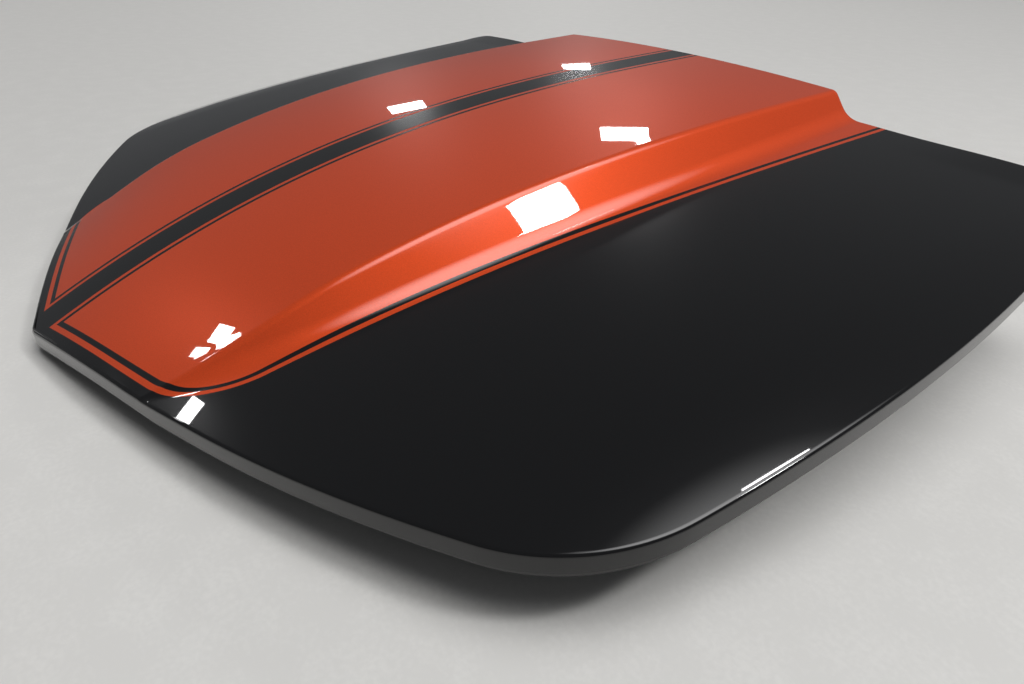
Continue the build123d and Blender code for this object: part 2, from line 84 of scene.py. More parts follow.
@dataclass(frozen=True)
class SkinForm:
    """The skin's outer face as a height over the plan, with the same sizes as the solids.

    The height is a base plus a bulge plus a kick. The base is a cubic line along y, minus a
    parabola across and a second parabola towards the sides. The bulge is a flat crown, an arc,
    a slope, a reversed arc and then nothing, from the centre line outwards. With fading on, its
    side grows from nothing behind the front edge, its crease bends inwards there, and the kick
    lifts the strips before the rear edge. The solids have neither the fading nor the kick.
    """

    fading: bool = True
    side_start: float = 70.0
    side_growth: float = 260.0
    tuck: float = 60.0
    tuck_end: float = 260.0
    kick_width: float = 62.0
    kick_slope: float = 0.05
    kick_blend: float = 7.0
    kick_from: float = 470.0
    kick_full: float = 640.0
    kick_trim: float = 0.02
    rear_straight: float = 360.0
    rear_width: float = 410.0
    rear_sweep: float = 25.0
    sag: float = 3.2
    sag_start: float = 940.0

    nose_y: float = -1120.0
    nose_z: float = -78.0
    length: float = 1195.0
    base_rise: float = 218.0
    base_nose_slope: float = 0.346
    base_cowl_slope: float = 0.100
    top_rise: float = 263.0
    top_nose_slope: float = 0.561
    top_cowl_slope: float = 0.064
    base_crown_radius: float = 10200.0
    roll_start: float = 700.0
    roll_radius: float = 1000.0
    crease_nose: float = 308.0
    crease_widening: float = 0.063
    crease_narrowing: float = 0.000026
    crown_share: float = 0.09
    least_height: float = 0.4
    turning_share: float = 0.9
    side_angle: float = np.radians(50.0)
    crease_radius: float = 16.0
    foot_radius: float = 45.0

    def _rise(self, y: np.ndarray, rise: float, nose: float, cowl: float) -> np.ndarray:
        """Cubic line with given end slopes, over t = y / L.

        L nose (t - 2t2 + t3) + L cowl (t3 - t2) + rise (3t2 - 2t3).
        """
        t = y / self.length
        start = self.length * nose * (t - 2 * t**2 + t**3)
        end = self.length * cowl * (t**3 - t**2)
        return start + end + rise * (3 * t**2 - 2 * t**3)

    def base(self, x: np.ndarray, y: np.ndarray) -> np.ndarray:
        """Height with no bulge: the base line, less x2 / 2R, less the roll at the sides."""
        along = self._rise(y, self.base_rise, self.base_nose_slope, self.base_cowl_slope)
        roll = np.maximum(0, np.abs(x) - self.roll_start) ** 2 / (2 * self.roll_radius)
        return along - x**2 / (2 * self.base_crown_radius) - roll

    def bulge(self, y: np.ndarray) -> np.ndarray:
        """Height of the bulge on the centre line: the top line less the base line.

        It is less by sag * t^1.2 before the cowl, t from 0 to 1, as the solids' loft is.
        """
        top = self._rise(y, self.top_rise, self.top_nose_slope, self.top_cowl_slope)
        base = self._rise(y, self.base_rise, self.base_nose_slope, self.base_cowl_slope)
        sag = self.sag * np.clip((y - self.sag_start) / (self.length - self.sag_start), 0, 1) ** 1.2
        return np.maximum(self.least_height, top - base - sag)

    def side(self, y: np.ndarray) -> np.ndarray:
        """Height of the bulge's side: its share of the bulge, times t (2 - t) while it grows."""
        full = self.bulge(y) * (1 - self.crown_share)
        if not self.fading:
            return full
        grown = np.clip((y - self.side_start) / self.side_growth, 0, 1)
        return np.maximum(self.least_height, full * grown * (2 - grown))

    def turns(self, y: np.ndarray) -> tuple[np.ndarray, ...]:
        """Where the bulge's side starts and stops turning, and its angle.

        Args:
            y: Distances back from the nose.

        Returns:
            Crease start, slope start, slope end, foot end, and the side's angle in radians.
        """
        crease = self.crease_nose + self.crease_widening * y - self.crease_narrowing * y**2
        if self.fading:
            crease -= self.tuck * np.clip(1 - np.maximum(0, y) / self.tuck_end, 0, 1) ** 2
        side = self.side(y)
        radii = self.crease_radius + self.foot_radius
        turning = np.minimum(1, self.turning_share * side / radii)
        angle = np.minimum(self.side_angle, np.arccos(1 - turning))
        upper = self.crease_radius * np.tan(angle / 2)
        lower = self.foot_radius * np.tan(angle / 2)
        foot = crease + side / np.tan(angle)
        cos = np.cos(angle)
        return crease - upper, crease + upper * cos, foot - lower * cos, foot + lower, angle

    def height(self, x: np.ndarray, y: np.ndarray) -> np.ndarray:
        """Height of the outer face above the nose tip, at plan points given in mm."""
        start, slope_start, slope_end, stop, angle = self.turns(y)
        across, top, side = np.abs(x), self.bulge(y), self.side(y)
        crown = top - (top - side) * (across / start) ** 2
        inner = np.sqrt(np.maximum(0, self.crease_radius**2 - (across - start) ** 2))
        crease = side - self.crease_radius + inner
        drop = self.crease_radius * (1 - np.cos(angle))
        slope = side - drop - (across - slope_start) * np.tan(angle)
        outer = np.sqrt(np.maximum(0, self.foot_radius**2 - (stop - across) ** 2))
        foot = self.foot_radius - outer
        extra = np.select(
            [across <= start, across <= slope_start, across <= slope_end, across <= stop],
            [crown, crease, slope, foot],
            0.0,
        )
        return self.base(x, y) + extra + self.kick(across, y)

    def kick(self, across: np.ndarray, y: np.ndarray) -> np.ndarray | float:
        """Rise of the strip before the rear edge: slope * (s + sqrt(s2 + blend2)) / 2.

        s is the distance past the crease, which follows the rear edge. The rise grows from
        nothing to full between two distances from the centre line.
        """
        if not self.fading:
            return 0.0
        outward = np.maximum(0, across - self.rear_straight) / self.rear_width
        rear = self.length + self.rear_sweep * outward**2
        past = y - rear + self.kick_width
        share = np.clip((across - self.kick_from) / (self.kick_full - self.kick_from), 0, 1)
        rise = self.kick_slope * (past + np.sqrt(past**2 + self.kick_blend**2)) / 2
        return share * share * (3 - 2 * share) * np.maximum(0, rise - self.kick_trim)

    def gradient(self, x: np.ndarray, y: np.ndarray) -> tuple[np.ndarray, np.ndarray]:
        """Slopes along x and y, by differences over 1 mm."""
        step = 0.5
        across = self.height(x + step, y) - self.height(x - step, y)
        along = self.height(x, y + step) - self.height(x, y - step)
        return across / (2 * step), along / (2 * step)

    def in_part(self, x: np.ndarray, y: np.ndarray, depth: np.ndarray | float) -> np.ndarray:
        """Points that lie depth under the outer face, in the part's frame, last axis xyz."""
        z = self.height(x, y) + self.nose_z - depth
        return np.stack([x, y + self.nose_y, z], axis=-1)


FORM = SkinForm()
SOLID_FORM = SkinForm(fading=False)


def arc_through(a: tuple, b: tuple, c: tuple, count: int) -> np.ndarray:
    """Points on the circle through a, b and c, from a to c.

    The centre solves |p - a| = |p - b| = |p - c|; the angles then run evenly from a to c.
    """
    a, b, c = (np.array(p, float) for p in (a, b, c))
    matrix = 2 * np.array([b - a, c - a])
    centre = np.linalg.solve(matrix, np.array([b @ b - a @ a, c @ c - a @ a]))
    angles = [np.arctan2(*(p - centre)[::-1]) for p in (a, b, c)]
    first, middle, last = np.unwrap(angles)
    if (middle - first) * (last - middle) < 0:
        last += 2 * np.pi * np.sign(middle - first)
    turn = np.linspace(first, last, count)
    radius = np.linalg.norm(a - centre)
    return centre + radius * np.stack([np.cos(turn), np.sin(turn)], axis=-1)


def left_normals(line: np.ndarray) -> np.ndarray:
    """Unit vectors to the left of a line of points, from its central differences."""
    tangent = np.gradient(line, axis=0)
    tangent /= np.linalg.norm(tangent, axis=1, keepdims=True)
    return np.stack([-tangent[:, 1], tangent[:, 0]], axis=-1)


def rounded_join(a: np.ndarray, b: np.ndarray, radius: float) -> tuple[np.ndarray, ...]:
    """Two lines that meet at a corner, cut back, and the arc of that radius between them.

    The arc's centre is where both lines, moved in by the radius, cross: the closest pair of
    their points.
    """
    a_in = a + left_normals(a) * radius
    b_in = b + left_normals(b) * radius
    apart = np.linalg.norm(a_in[:, None] - b_in[None], axis=-1)
    i, j = np.unravel_index(np.argmin(apart), apart.shape)
    centre = (a_in[i] + b_in[j]) / 2
    first, last = np.unwrap([np.arctan2(*(p - centre)[::-1]) for p in (a[i], b[j])])
    turn = np.linspace(first, last, 41)
    arc = centre + radius * np.stack([np.cos(turn), np.sin(turn)], axis=-1)
    return a[:i], arc, b[j + 1 :]


class Outline:
    """Left half of the skin's plan outline, from the nose round to the rear, moved in by inset.

    Each line is given by three points of an arc.
    """

    nose_line = ((0, 0), (200, 54.5), (400, 119.5))
    front_line = ((400, 119.5), (600, 204.6), (791, 315.5))
    side_line = ((791, 315.5), (819, 640), (805.5, 900))
    rear_line = ((770, 1220), (580, 1203), (360, 1195))
    rear_middle = (0, 1195)
    tip_radius = 24.0
    front_corner = 210.0
    rear_corner = 40.0
    samples = 400

    def __init__(self, inset: float = 0.0) -> None:
        """Joins the outline's arcs with rounded corners.

        Args:
            inset: Distance in mm that the line lies inside the skin's edge.
        """
        nose, front, side, rear = (
            arc_through(*line, self.samples)
            for line in (self.nose_line, self.front_line, self.side_line, self.rear_line)
        )
        turn = np.linspace(0, 1, 200)[1:, None]
        straight = (1 - turn) * self.side_line[2] + turn * self.rear_line[0]
        side = np.concatenate([side, straight])
        front = np.concatenate([nose, front[1:]])
        moved = front + left_normals(front) * self.tip_radius
        cut = int(np.argmax(moved[:, 0] >= 0))
        centre = np.array([0.0, moved[cut, 1]])
        start = np.arctan2(*(front[cut] - centre)[::-1])
        tip = np.linspace(-np.pi / 2, start, 20)
        tip = centre + self.tip_radius * np.stack([np.cos(tip), np.sin(tip)], axis=-1)
        front, corner, side = rounded_join(front[cut:], side, self.front_corner)
        front = np.concatenate([tip, front[1:]])
        side, back, rear = rounded_join(side, rear, self.rear_corner)
        last = np.linspace(0, 1, 100)[1:, None]
        middle = (1 - last) * self.rear_line[2] + last * self.rear_middle
        rear = np.concatenate([rear, middle])
        line = np.concatenate([front, corner, side, back, rear])
        normals = left_normals(line)
        normals[0], normals[-1] = (0, 1), (0, -1)
        self.line = line + normals * inset
        self.corner = len(front) + len(corner) // 2
        self.back = len(front) + len(corner) + len(side) + len(back) // 2

    def front_at(self, x: np.ndarray) -> np.ndarray:
        """Distance back from the nose of the front edge at x."""
        part = self.line[: self.corner + 1]
        return np.interp(x, part[:, 0], part[:, 1])

    def side_at(self, y: np.ndarray) -> np.ndarray:
        """Distance out from the centre line of the side edge at y."""
        part = self.line[self.corner : self.back + 1]
        return np.interp(y, part[:, 1], part[:, 0])

    def rear_at(self, x: np.ndarray) -> np.ndarray:
        """Distance back from the nose of the rear edge at x."""
        part = self.line[self.back :][::-1]
        return np.interp(x, part[:, 0], part[:, 1])

    def nearest(self, x: np.ndarray, y: np.ndarray) -> tuple[np.ndarray, np.ndarray]:
        """Distance to the outline and unit vector away from it, for points inside.

        It is the least distance to the outline's segments, each met at its closest point.
        """
        start, run = self.line[:-1], np.diff(self.line, axis=0)
        length = np.maximum(1e-9, (run**2).sum(axis=1))
        point = np.stack([np.abs(x), y], axis=-1)
        best = np.full(len(point), 1e9)
        away = np.zeros_like(point)
        for low in range(0, len(point), 1500):
            part = point[low : low + 1500]
            offset = part[:, None] - start[None]
            t = np.clip((offset * run).sum(-1) / length, 0, 1)
            gap = offset - t[..., None] * run
            size = np.linalg.norm(gap, axis=-1)
            k = size.argmin(axis=1)
            rows = np.arange(len(part))
            best[low : low + 1500] = size[rows, k]
            inward = np.stack([-run[k, 1], run[k, 0]], axis=-1) / np.sqrt(length[k])[:, None]
            near = size[rows, k] < 0.3
            gap_way = gap[rows, k] / np.maximum(1e-6, size[rows, k])[:, None]
            away[low : low + 1500] = np.where(near[:, None], inward, gap_way)
        away[:, 0] *= np.where(x < 0, -1, 1)
        return best, away

    def ring(self, front: float, rear: float) -> np.ndarray:
        """The whole outline's points whose distance back from the nose lies between two values.

        The points run through the nose tip, or through the rear's middle for a run at the rear.
        """
        right = self.line[::-1] * (-1, 1)
        whole = np.concatenate([right[:-1], self.line])
        if rear > self.side_line[2][1]:
            whole = np.concatenate([self.line, right[1:]])
        return whole[(whole[:, 1] >= front) & (whole[:, 1] <= rear)]


def resampled(line: np.ndarray, step: float) -> np.ndarray:
    """The line's points at even steps of about the given length, by linear interpolation."""
    run = np.concatenate([[0], np.cumsum(np.linalg.norm(np.diff(line, axis=0), axis=1))])
    at = np.linspace(0, run[-1], max(2, int(run[-1] / step)))
    return np.stack([np.interp(at, run, line[:, k]) for k in range(line.shape[1])], axis=-1)


def new_object(
    name: str,
    points: np.ndarray,
    faces: list[np.ndarray],
    body: str,
    material: bpy.types.Material,
) -> bpy.types.Object:
    """Makes a smooth mesh object, sharp at edges over 35 degrees, that rides on a body.

    Args:
        name: Name of the piece.
        points: Vertices in mm, shape (n, 3).
        faces: Arrays of vertex numbers, each of one face size.
        body: The CAD body that the piece moves with.
        material: Its material.

    Returns:
        The new object.
    """
    mesh = bpy.data.meshes.new(name)
    rows = [tuple(f) for part in faces for f in np.asarray(part).tolist()]
    mesh.from_pydata((np.asarray(points, float) * MM).tolist(), [], rows)
    mesh.validate()
    piece = bpy.data.objects.new(name, mesh)
    bpy.context.scene.collection.objects.link(piece)
    mesh.materials.append(material)
    mesh.shade_smooth()
    mesh.set_sharp_from_angle(angle=SHARP_ANGLE)
    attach(piece, body)
    return piece


def grid_faces(rows: int, columns: int, first: int = 0, wrap: bool = False) -> np.ndarray:
    """Quads of a grid numbered row by row: (i, j), (i, j+1), (i+1, j+1), (i+1, j).

    Args:
        rows: Number of rows of points.
        columns: Number of points in a row.
        first: Number of the grid's first vertex.
        wrap: True if each row closes on itself.

    Returns:
        Vertex numbers, shape (n, 4).
    """
    number = first + np.arange(rows * columns).reshape(rows, columns)
    if wrap:
        number = np.concatenate([number, number[:, :1]], axis=1)
    a, b = number[:-1, :-1], number[:-1, 1:]
    c, d = number[1:, 1:], number[1:, :-1]
    return np.stack([a, b, c, d], axis=-1).reshape(-1, 4)


def lathe(
    profile: list[tuple[float, float]], centre: tuple, axis: tuple, count: int = 32
) -> tuple[np.ndarray, np.ndarray]:
    """Surface of revolution: point = centre + along * axis + radius * (cos a * u + sin a * v).

    Args:
        profile: (along, radius) pairs from one end to the other, in mm.
        centre: Where along is 0.
        axis: Direction of the axis.
        count: Number of points round.

    Returns:
        Points and quads. The ends stay open unless the profile starts and ends at radius 0.
    """
    w = np.array(axis, float) / np.linalg.norm(axis)
    helper = np.array([0, 0, 1.0]) if abs(w[2]) < 0.9 else np.array([1.0, 0, 0])
    u = np.cross(helper, w)
    u /= np.linalg.norm(u)
    v = np.cross(w, u)
    along, radius = np.array(profile, float).T
    turn = np.linspace(0, 2 * np.pi, count, endpoint=False)
    ring = np.cos(turn)[:, None] * u + np.sin(turn)[:, None] * v
    points = along[:, None, None] * w + np.maximum(radius, 0.01)[:, None, None] * ring
    points = (points + np.array(centre, float)).reshape(-1, 3)
    faces = grid_faces(len(along), count, wrap=True)
    first = np.arange(count)
    last = (len(along) - 1) * count + first
    return points, [faces, first[::-1][None], last[None]]


def joined(parts: list[tuple[np.ndarray, list[np.ndarray]]]) -> tuple[np.ndarray, list]:
    """Several (points, faces) lists as one, with the face numbers moved up."""
    points, faces, first = [], [], 0
    for piece_points, piece_faces in parts:
        points.append(piece_points)
        faces += [np.asarray(f) + first for f in piece_faces]
        first += len(piece_points)
    return np.concatenate(points), faces


class Shader:
    """Short ways to place and join the nodes of one material or group."""

    def __init__(self, tree: bpy.types.NodeTree) -> None:
        """Keeps the tree that the nodes go into."""
        self.tree = tree

    def node(self, kind: str, **values: object) -> bpy.types.Node:
        """A new node. Values name its sockets, with _ for a space, or its own settings."""
        made = self.tree.nodes.new(kind)
        for key, value in values.items():
            name = key.replace("_", " ")
            if hasattr(made, key):
                setattr(made, key, value)
            elif isinstance(value, bpy.types.NodeSocket):
                self.tree.links.new(value, made.inputs[name])
            else:
                made.inputs[name].default_value = value
        return made

    def math(self, operation: str, *values: float | bpy.types.NodeSocket) -> bpy.types.NodeSocket:
        """The result of a math node on up to three numbers or sockets."""
        made = self.tree.nodes.new("ShaderNodeMath")
        made.operation = operation
        for k, value in enumerate(values):
            if isinstance(value, bpy.types.NodeSocket):
                self.tree.links.new(value, made.inputs[k])
            else:
                made.inputs[k].default_value = value
        return made.outputs[0]

    def mixed(
        self, share: float | bpy.types.NodeSocket, a: object, b: object
    ) -> bpy.types.NodeSocket:
        """Colour a where share is 0 and colour b where it is 1."""
        made = self.tree.nodes.new("ShaderNodeMix")
        made.data_type = "RGBA"
        for k, value in ((0, share), (6, a), (7, b)):
            if isinstance(value, bpy.types.NodeSocket):
                self.tree.links.new(value, made.inputs[k])
            else:
                made.inputs[k].default_value = value
        return made.outputs[2]

    def ramp(
        self, value: bpy.types.NodeSocket, low: float, high: float, a: float = 0.0, b: float = 1.0
    ) -> bpy.types.NodeSocket:
        """Value moved from low..high to a..b, held at the ends."""
        made = self.node("ShaderNodeMapRange", Value=value)
        for name, number in (("From Min", low), ("From Max", high), ("To Min", a), ("To Max", b)):
            made.inputs[name].default_value = number
        return made.outputs[0]


def new_group(name: str, inputs: tuple[str, ...], outputs: tuple[str, ...]) -> Shader:
    """An empty node group with number inputs and number outputs.

    Args:
        name: Name of the group.
        inputs: Input names. Each material that uses the group sets its own values.
        outputs: Output names.

    Returns:
        A Shader on the group's tree, whose group_in and group_out nodes are set.
    """
    tree = bpy.data.node_groups.new(name, "ShaderNodeTree")
    for way, labels in (("INPUT", inputs), ("OUTPUT", outputs)):
        for label in labels:
            tree.interface.new_socket(label, in_out=way, socket_type="NodeSocketFloat")
    shader = Shader(tree)
    shader.group_in = tree.nodes.new("NodeGroupInput")
    shader.group_out = tree.nodes.new("NodeGroupOutput")
    return shader


def stripe_group() -> bpy.types.NodeTree:
    """Mask of the orange stripes, worked out from three distances that the skin carries.

    inside = least of the distances to the stripe's front, inner and outer edges, with the
    front outer corner rounded as R - |(R - front, R - outer)|. The mask is 1 inside, 0 where
    inside lies between the outline's width and that plus the pinstripe's.
    """
    inputs = ("Outline", "Pinstripe", "Inner Edge", "Corner")
    shader = new_group("stripe_mask", inputs, ("Mask",))
    given = shader.group_in.outputs
    front, outer, centre = (
        shader.node("ShaderNodeAttribute", attribute_name=name).outputs["Fac"]
        for name in ("from_front", "from_outer", "from_centre")
    )
    inner = shader.math("SUBTRACT", centre, given["Inner Edge"])
    a = shader.math("MAXIMUM", shader.math("SUBTRACT", given["Corner"], front), 0.0)
    b = shader.math("MAXIMUM", shader.math("SUBTRACT", given["Corner"], outer), 0.0)
    square = shader.math("ADD", shader.math("MULTIPLY", a, a), shader.math("MULTIPLY", b, b))
    rounded = shader.math("SUBTRACT", given["Corner"], shader.math("SQRT", square))
    inside = shader.math("MINIMUM", rounded, inner)
    blur = 0.25
    whole = shader.ramp(inside, -blur, blur)
    pin_start = shader.math("SUBTRACT", inside, given["Outline"])
    into_pin = shader.ramp(pin_start, -blur, blur)
    out_of_pin = shader.ramp(shader.math("SUBTRACT", pin_start, given["Pinstripe"]), -blur, blur)
    pin = shader.math("SUBTRACT", into_pin, out_of_pin)
    mask = shader.math("MULTIPLY", whole, shader.math("SUBTRACT", 1.0, pin))
    shader.tree.links.new(mask, shader.group_out.inputs["Mask"])
    return shader.tree


def speckle_group() -> bpy.types.NodeTree:
    """Fine paint flakes, 0 to 1: an even noise on Object coordinates."""
    shader = new_group("paint_speckle", ("Flake Scale",), ("Flake",))
    place = shader.node("ShaderNodeTexCoord").outputs["Object"]
    noise = shader.node("ShaderNodeTexNoise", Vector=place, Detail=1.0)
    shader.tree.links.new(shader.group_in.outputs["Flake Scale"], noise.inputs["Scale"])
    flake = shader.ramp(noise.outputs["Fac"], 0.3, 0.7)
    shader.tree.links.new(flake, shader.group_out.inputs["Flake"])
    return shader.tree


def grime_group() -> bpy.types.NodeTree:
    """Mask of handled or dusty places: two noises of different size multiplied."""
    shader = new_group("wear_mask", ("Scale", "Amount"), ("Mask",))
    place = shader.node("ShaderNodeTexCoord").outputs["Object"]
    given = shader.group_in.outputs
    coarse = shader.node("ShaderNodeTexNoise", Vector=place, Detail=4.0)
    shader.tree.links.new(given["Scale"], coarse.inputs["Scale"])
    fine = shader.node("ShaderNodeTexNoise", Vector=place, Detail=2.0)
    shader.tree.links.new(shader.math("MULTIPLY", given["Scale"], 9.0), fine.inputs["Scale"])
    both = shader.math("MULTIPLY", coarse.outputs["Fac"], fine.outputs["Fac"])
    mask = shader.math("MULTIPLY", shader.ramp(both, 0.2, 0.4), given["Amount"])
    shader.tree.links.new(mask, shader.group_out.inputs["Mask"])
    return shader.tree


class Groups:
    """The shared node groups, each built once."""

    def __init__(self) -> None:
        """Builds every group."""
        self.stripe = stripe_group()
        self.speckle = speckle_group()
        self.wear = grime_group()


@dataclass(frozen=True)
class BodyPaint:
    """Gloss black with orange pearl stripes under one clear coat."""

    black: tuple = (0.0045, 0.0045, 0.005, 1.0)
    orange: tuple = (0.66, 0.066, 0.011, 1.0)
    outline: float = 6.8
    pinstripe: float = 6.6
    inner_edge: float = 27.0
    corner: float = 78.0
    flake_scale: float = 900.0
    flake_depth: float = 0.16
    metal_share: float = 0.28
    black_roughness: float = 0.25
    orange_roughness: float = 0.42

    def build(self, groups: Groups) -> bpy.types.Material:
        """The material: the stripe mask picks the colour, the metal share and the roughness."""
        material = bpy.data.materials.new("body_paint")
        material.use_nodes = True
        shader = Shader(material.node_tree)
        surface = material.node_tree.nodes["Principled BSDF"]
        mask = shader.node(
            "ShaderNodeGroup",
            node_tree=groups.stripe,
            Outline=self.outline,
            Pinstripe=self.pinstripe,
            Inner_Edge=self.inner_edge,
            Corner=self.corner,
        ).outputs["Mask"]
        speckle = shader.node(
            "ShaderNodeGroup", node_tree=groups.speckle, Flake_Scale=self.flake_scale
        )
        flake = shader.ramp(speckle.outputs["Flake"], 0.0, 1.0, 1 - self.flake_depth, 1.0)
        darker = shader.node("ShaderNodeHueSaturation", Color=self.orange, Value=flake)
        colour = shader.mixed(mask, self.black, darker.outputs["Color"])
        link = material.node_tree.links.new
        link(colour, surface.inputs["Base Color"])
        link(shader.math("MULTIPLY", mask, self.metal_share), surface.inputs["Metallic"])
        rough = shader.ramp(mask, 0.0, 1.0, self.black_roughness, self.orange_roughness)
        link(rough, surface.inputs["Roughness"])
        surface.inputs["Specular IOR Level"].default_value = 0.05
        surface.inputs["Coat Weight"].default_value = 1.0
        surface.inputs["Coat Roughness"].default_value = 0.02
        surface.inputs["Coat IOR"].default_value = 1.5
        return material


@dataclass(frozen=True)
class PlainFinish:
    """One colour with a little broad unevenness, and a fine bump."""

    name: str
    color: tuple
    metallic: float = 0.0
    roughness: float = 0.5
    coat: float = 0.0
    wear: float = 0.15
    wear_scale: float = 18.0
    wear_roughness: float = 0.25
    bump: float = 0.05
    bump_scale: float = 400.0

    def build(self, groups: Groups) -> bpy.types.Material:
        """The material: wear lightens the colour and changes the roughness where its mask is."""
        material = bpy.data.materials.new(self.name)
        material.use_nodes = True
        shader = Shader(material.node_tree)
        surface = material.node_tree.nodes["Principled BSDF"]
        mask = shader.node(
            "ShaderNodeGroup", node_tree=groups.wear, Scale=self.wear_scale, Amount=self.wear
        ).outputs["Mask"]
        lighter = tuple(min(1.0, c * 1.5 + 0.03) for c in self.color[:3]) + (1.0,)
        link = material.node_tree.links.new
        link(shader.mixed(mask, self.color, lighter), surface.inputs["Base Color"])
        rougher = min(1.0, self.roughness + self.wear_roughness)
        rough = shader.ramp(mask, 0.0, 1.0, self.roughness, rougher)
        link(rough, surface.inputs["Roughness"])
        surface.inputs["Metallic"].default_value = self.metallic
        surface.inputs["Coat Weight"].default_value = self.coat
        surface.inputs["Coat Roughness"].default_value = 0.05
        place = shader.node("ShaderNodeTexCoord").outputs["Object"]
        grain = shader.node(
            "ShaderNodeTexNoise", Vector=place, Scale=self.bump_scale, Detail=3.0
        )
        bump = shader.node("ShaderNodeBump", Strength=self.bump, Distance=0.001)
        link(grain.outputs["Fac"], bump.inputs["Height"])
        link(bump.outputs["Normal"], surface.inputs["Normal"])
        return material


class Finishes:
    """Every finish of the scene, by the record's slot where it has one."""

    def __init__(self) -> None:
        """Builds the groups and then the materials."""
        groups = Groups()
        plain = (
            PlainFinish("inner_paint", (0.012, 0.012, 0.013, 1), roughness=0.34, coat=0.25),
            PlainFinish("pad_cloth", (0.022, 0.022, 0.024, 1), roughness=0.95, bump=0.9,
                        bump_scale=900.0, wear=0.3),
            PlainFinish("seal_rubber", (0.012, 0.012, 0.012, 1), roughness=0.72, bump=0.15),
            PlainFinish("stop_rubber", (0.016, 0.016, 0.016, 1), roughness=0.62, bump=0.1),
            PlainFinish("plated_steel", (0.56, 0.54, 0.47, 1), metallic=1.0, roughness=0.32),
            PlainFinish("hinge_paint", (0.014, 0.014, 0.015, 1), roughness=0.4, coat=0.1),
            PlainFinish("strut_paint", (0.008, 0.008, 0.009, 1), roughness=0.25, coat=0.6),
            PlainFinish("rod_chrome", (0.78, 0.78, 0.8, 1), metallic=1.0, roughness=0.08,
                        wear=0.05, bump=0.0),
        )
        self.by_slot = {finish.name: finish.build(groups) for finish in plain}
        self.by_slot["body_paint"] = BodyPaint().build(groups)
        floor = PlainFinish("floor", (0.62, 0.61, 0.59, 1), roughness=0.6, wear=0.1, bump=0.02)
        self.floor = floor.build(groups)

    def dress_solids(self) -> None:
        """Puts each slot's finish on the CAD nodes that carry it."""
        for row in frame["record"]["subparts"]:
            node = frame["nodes"][row["node"]]
            node.data.materials.clear()
            node.data.materials.append(self.by_slot[row["material_slot"]])


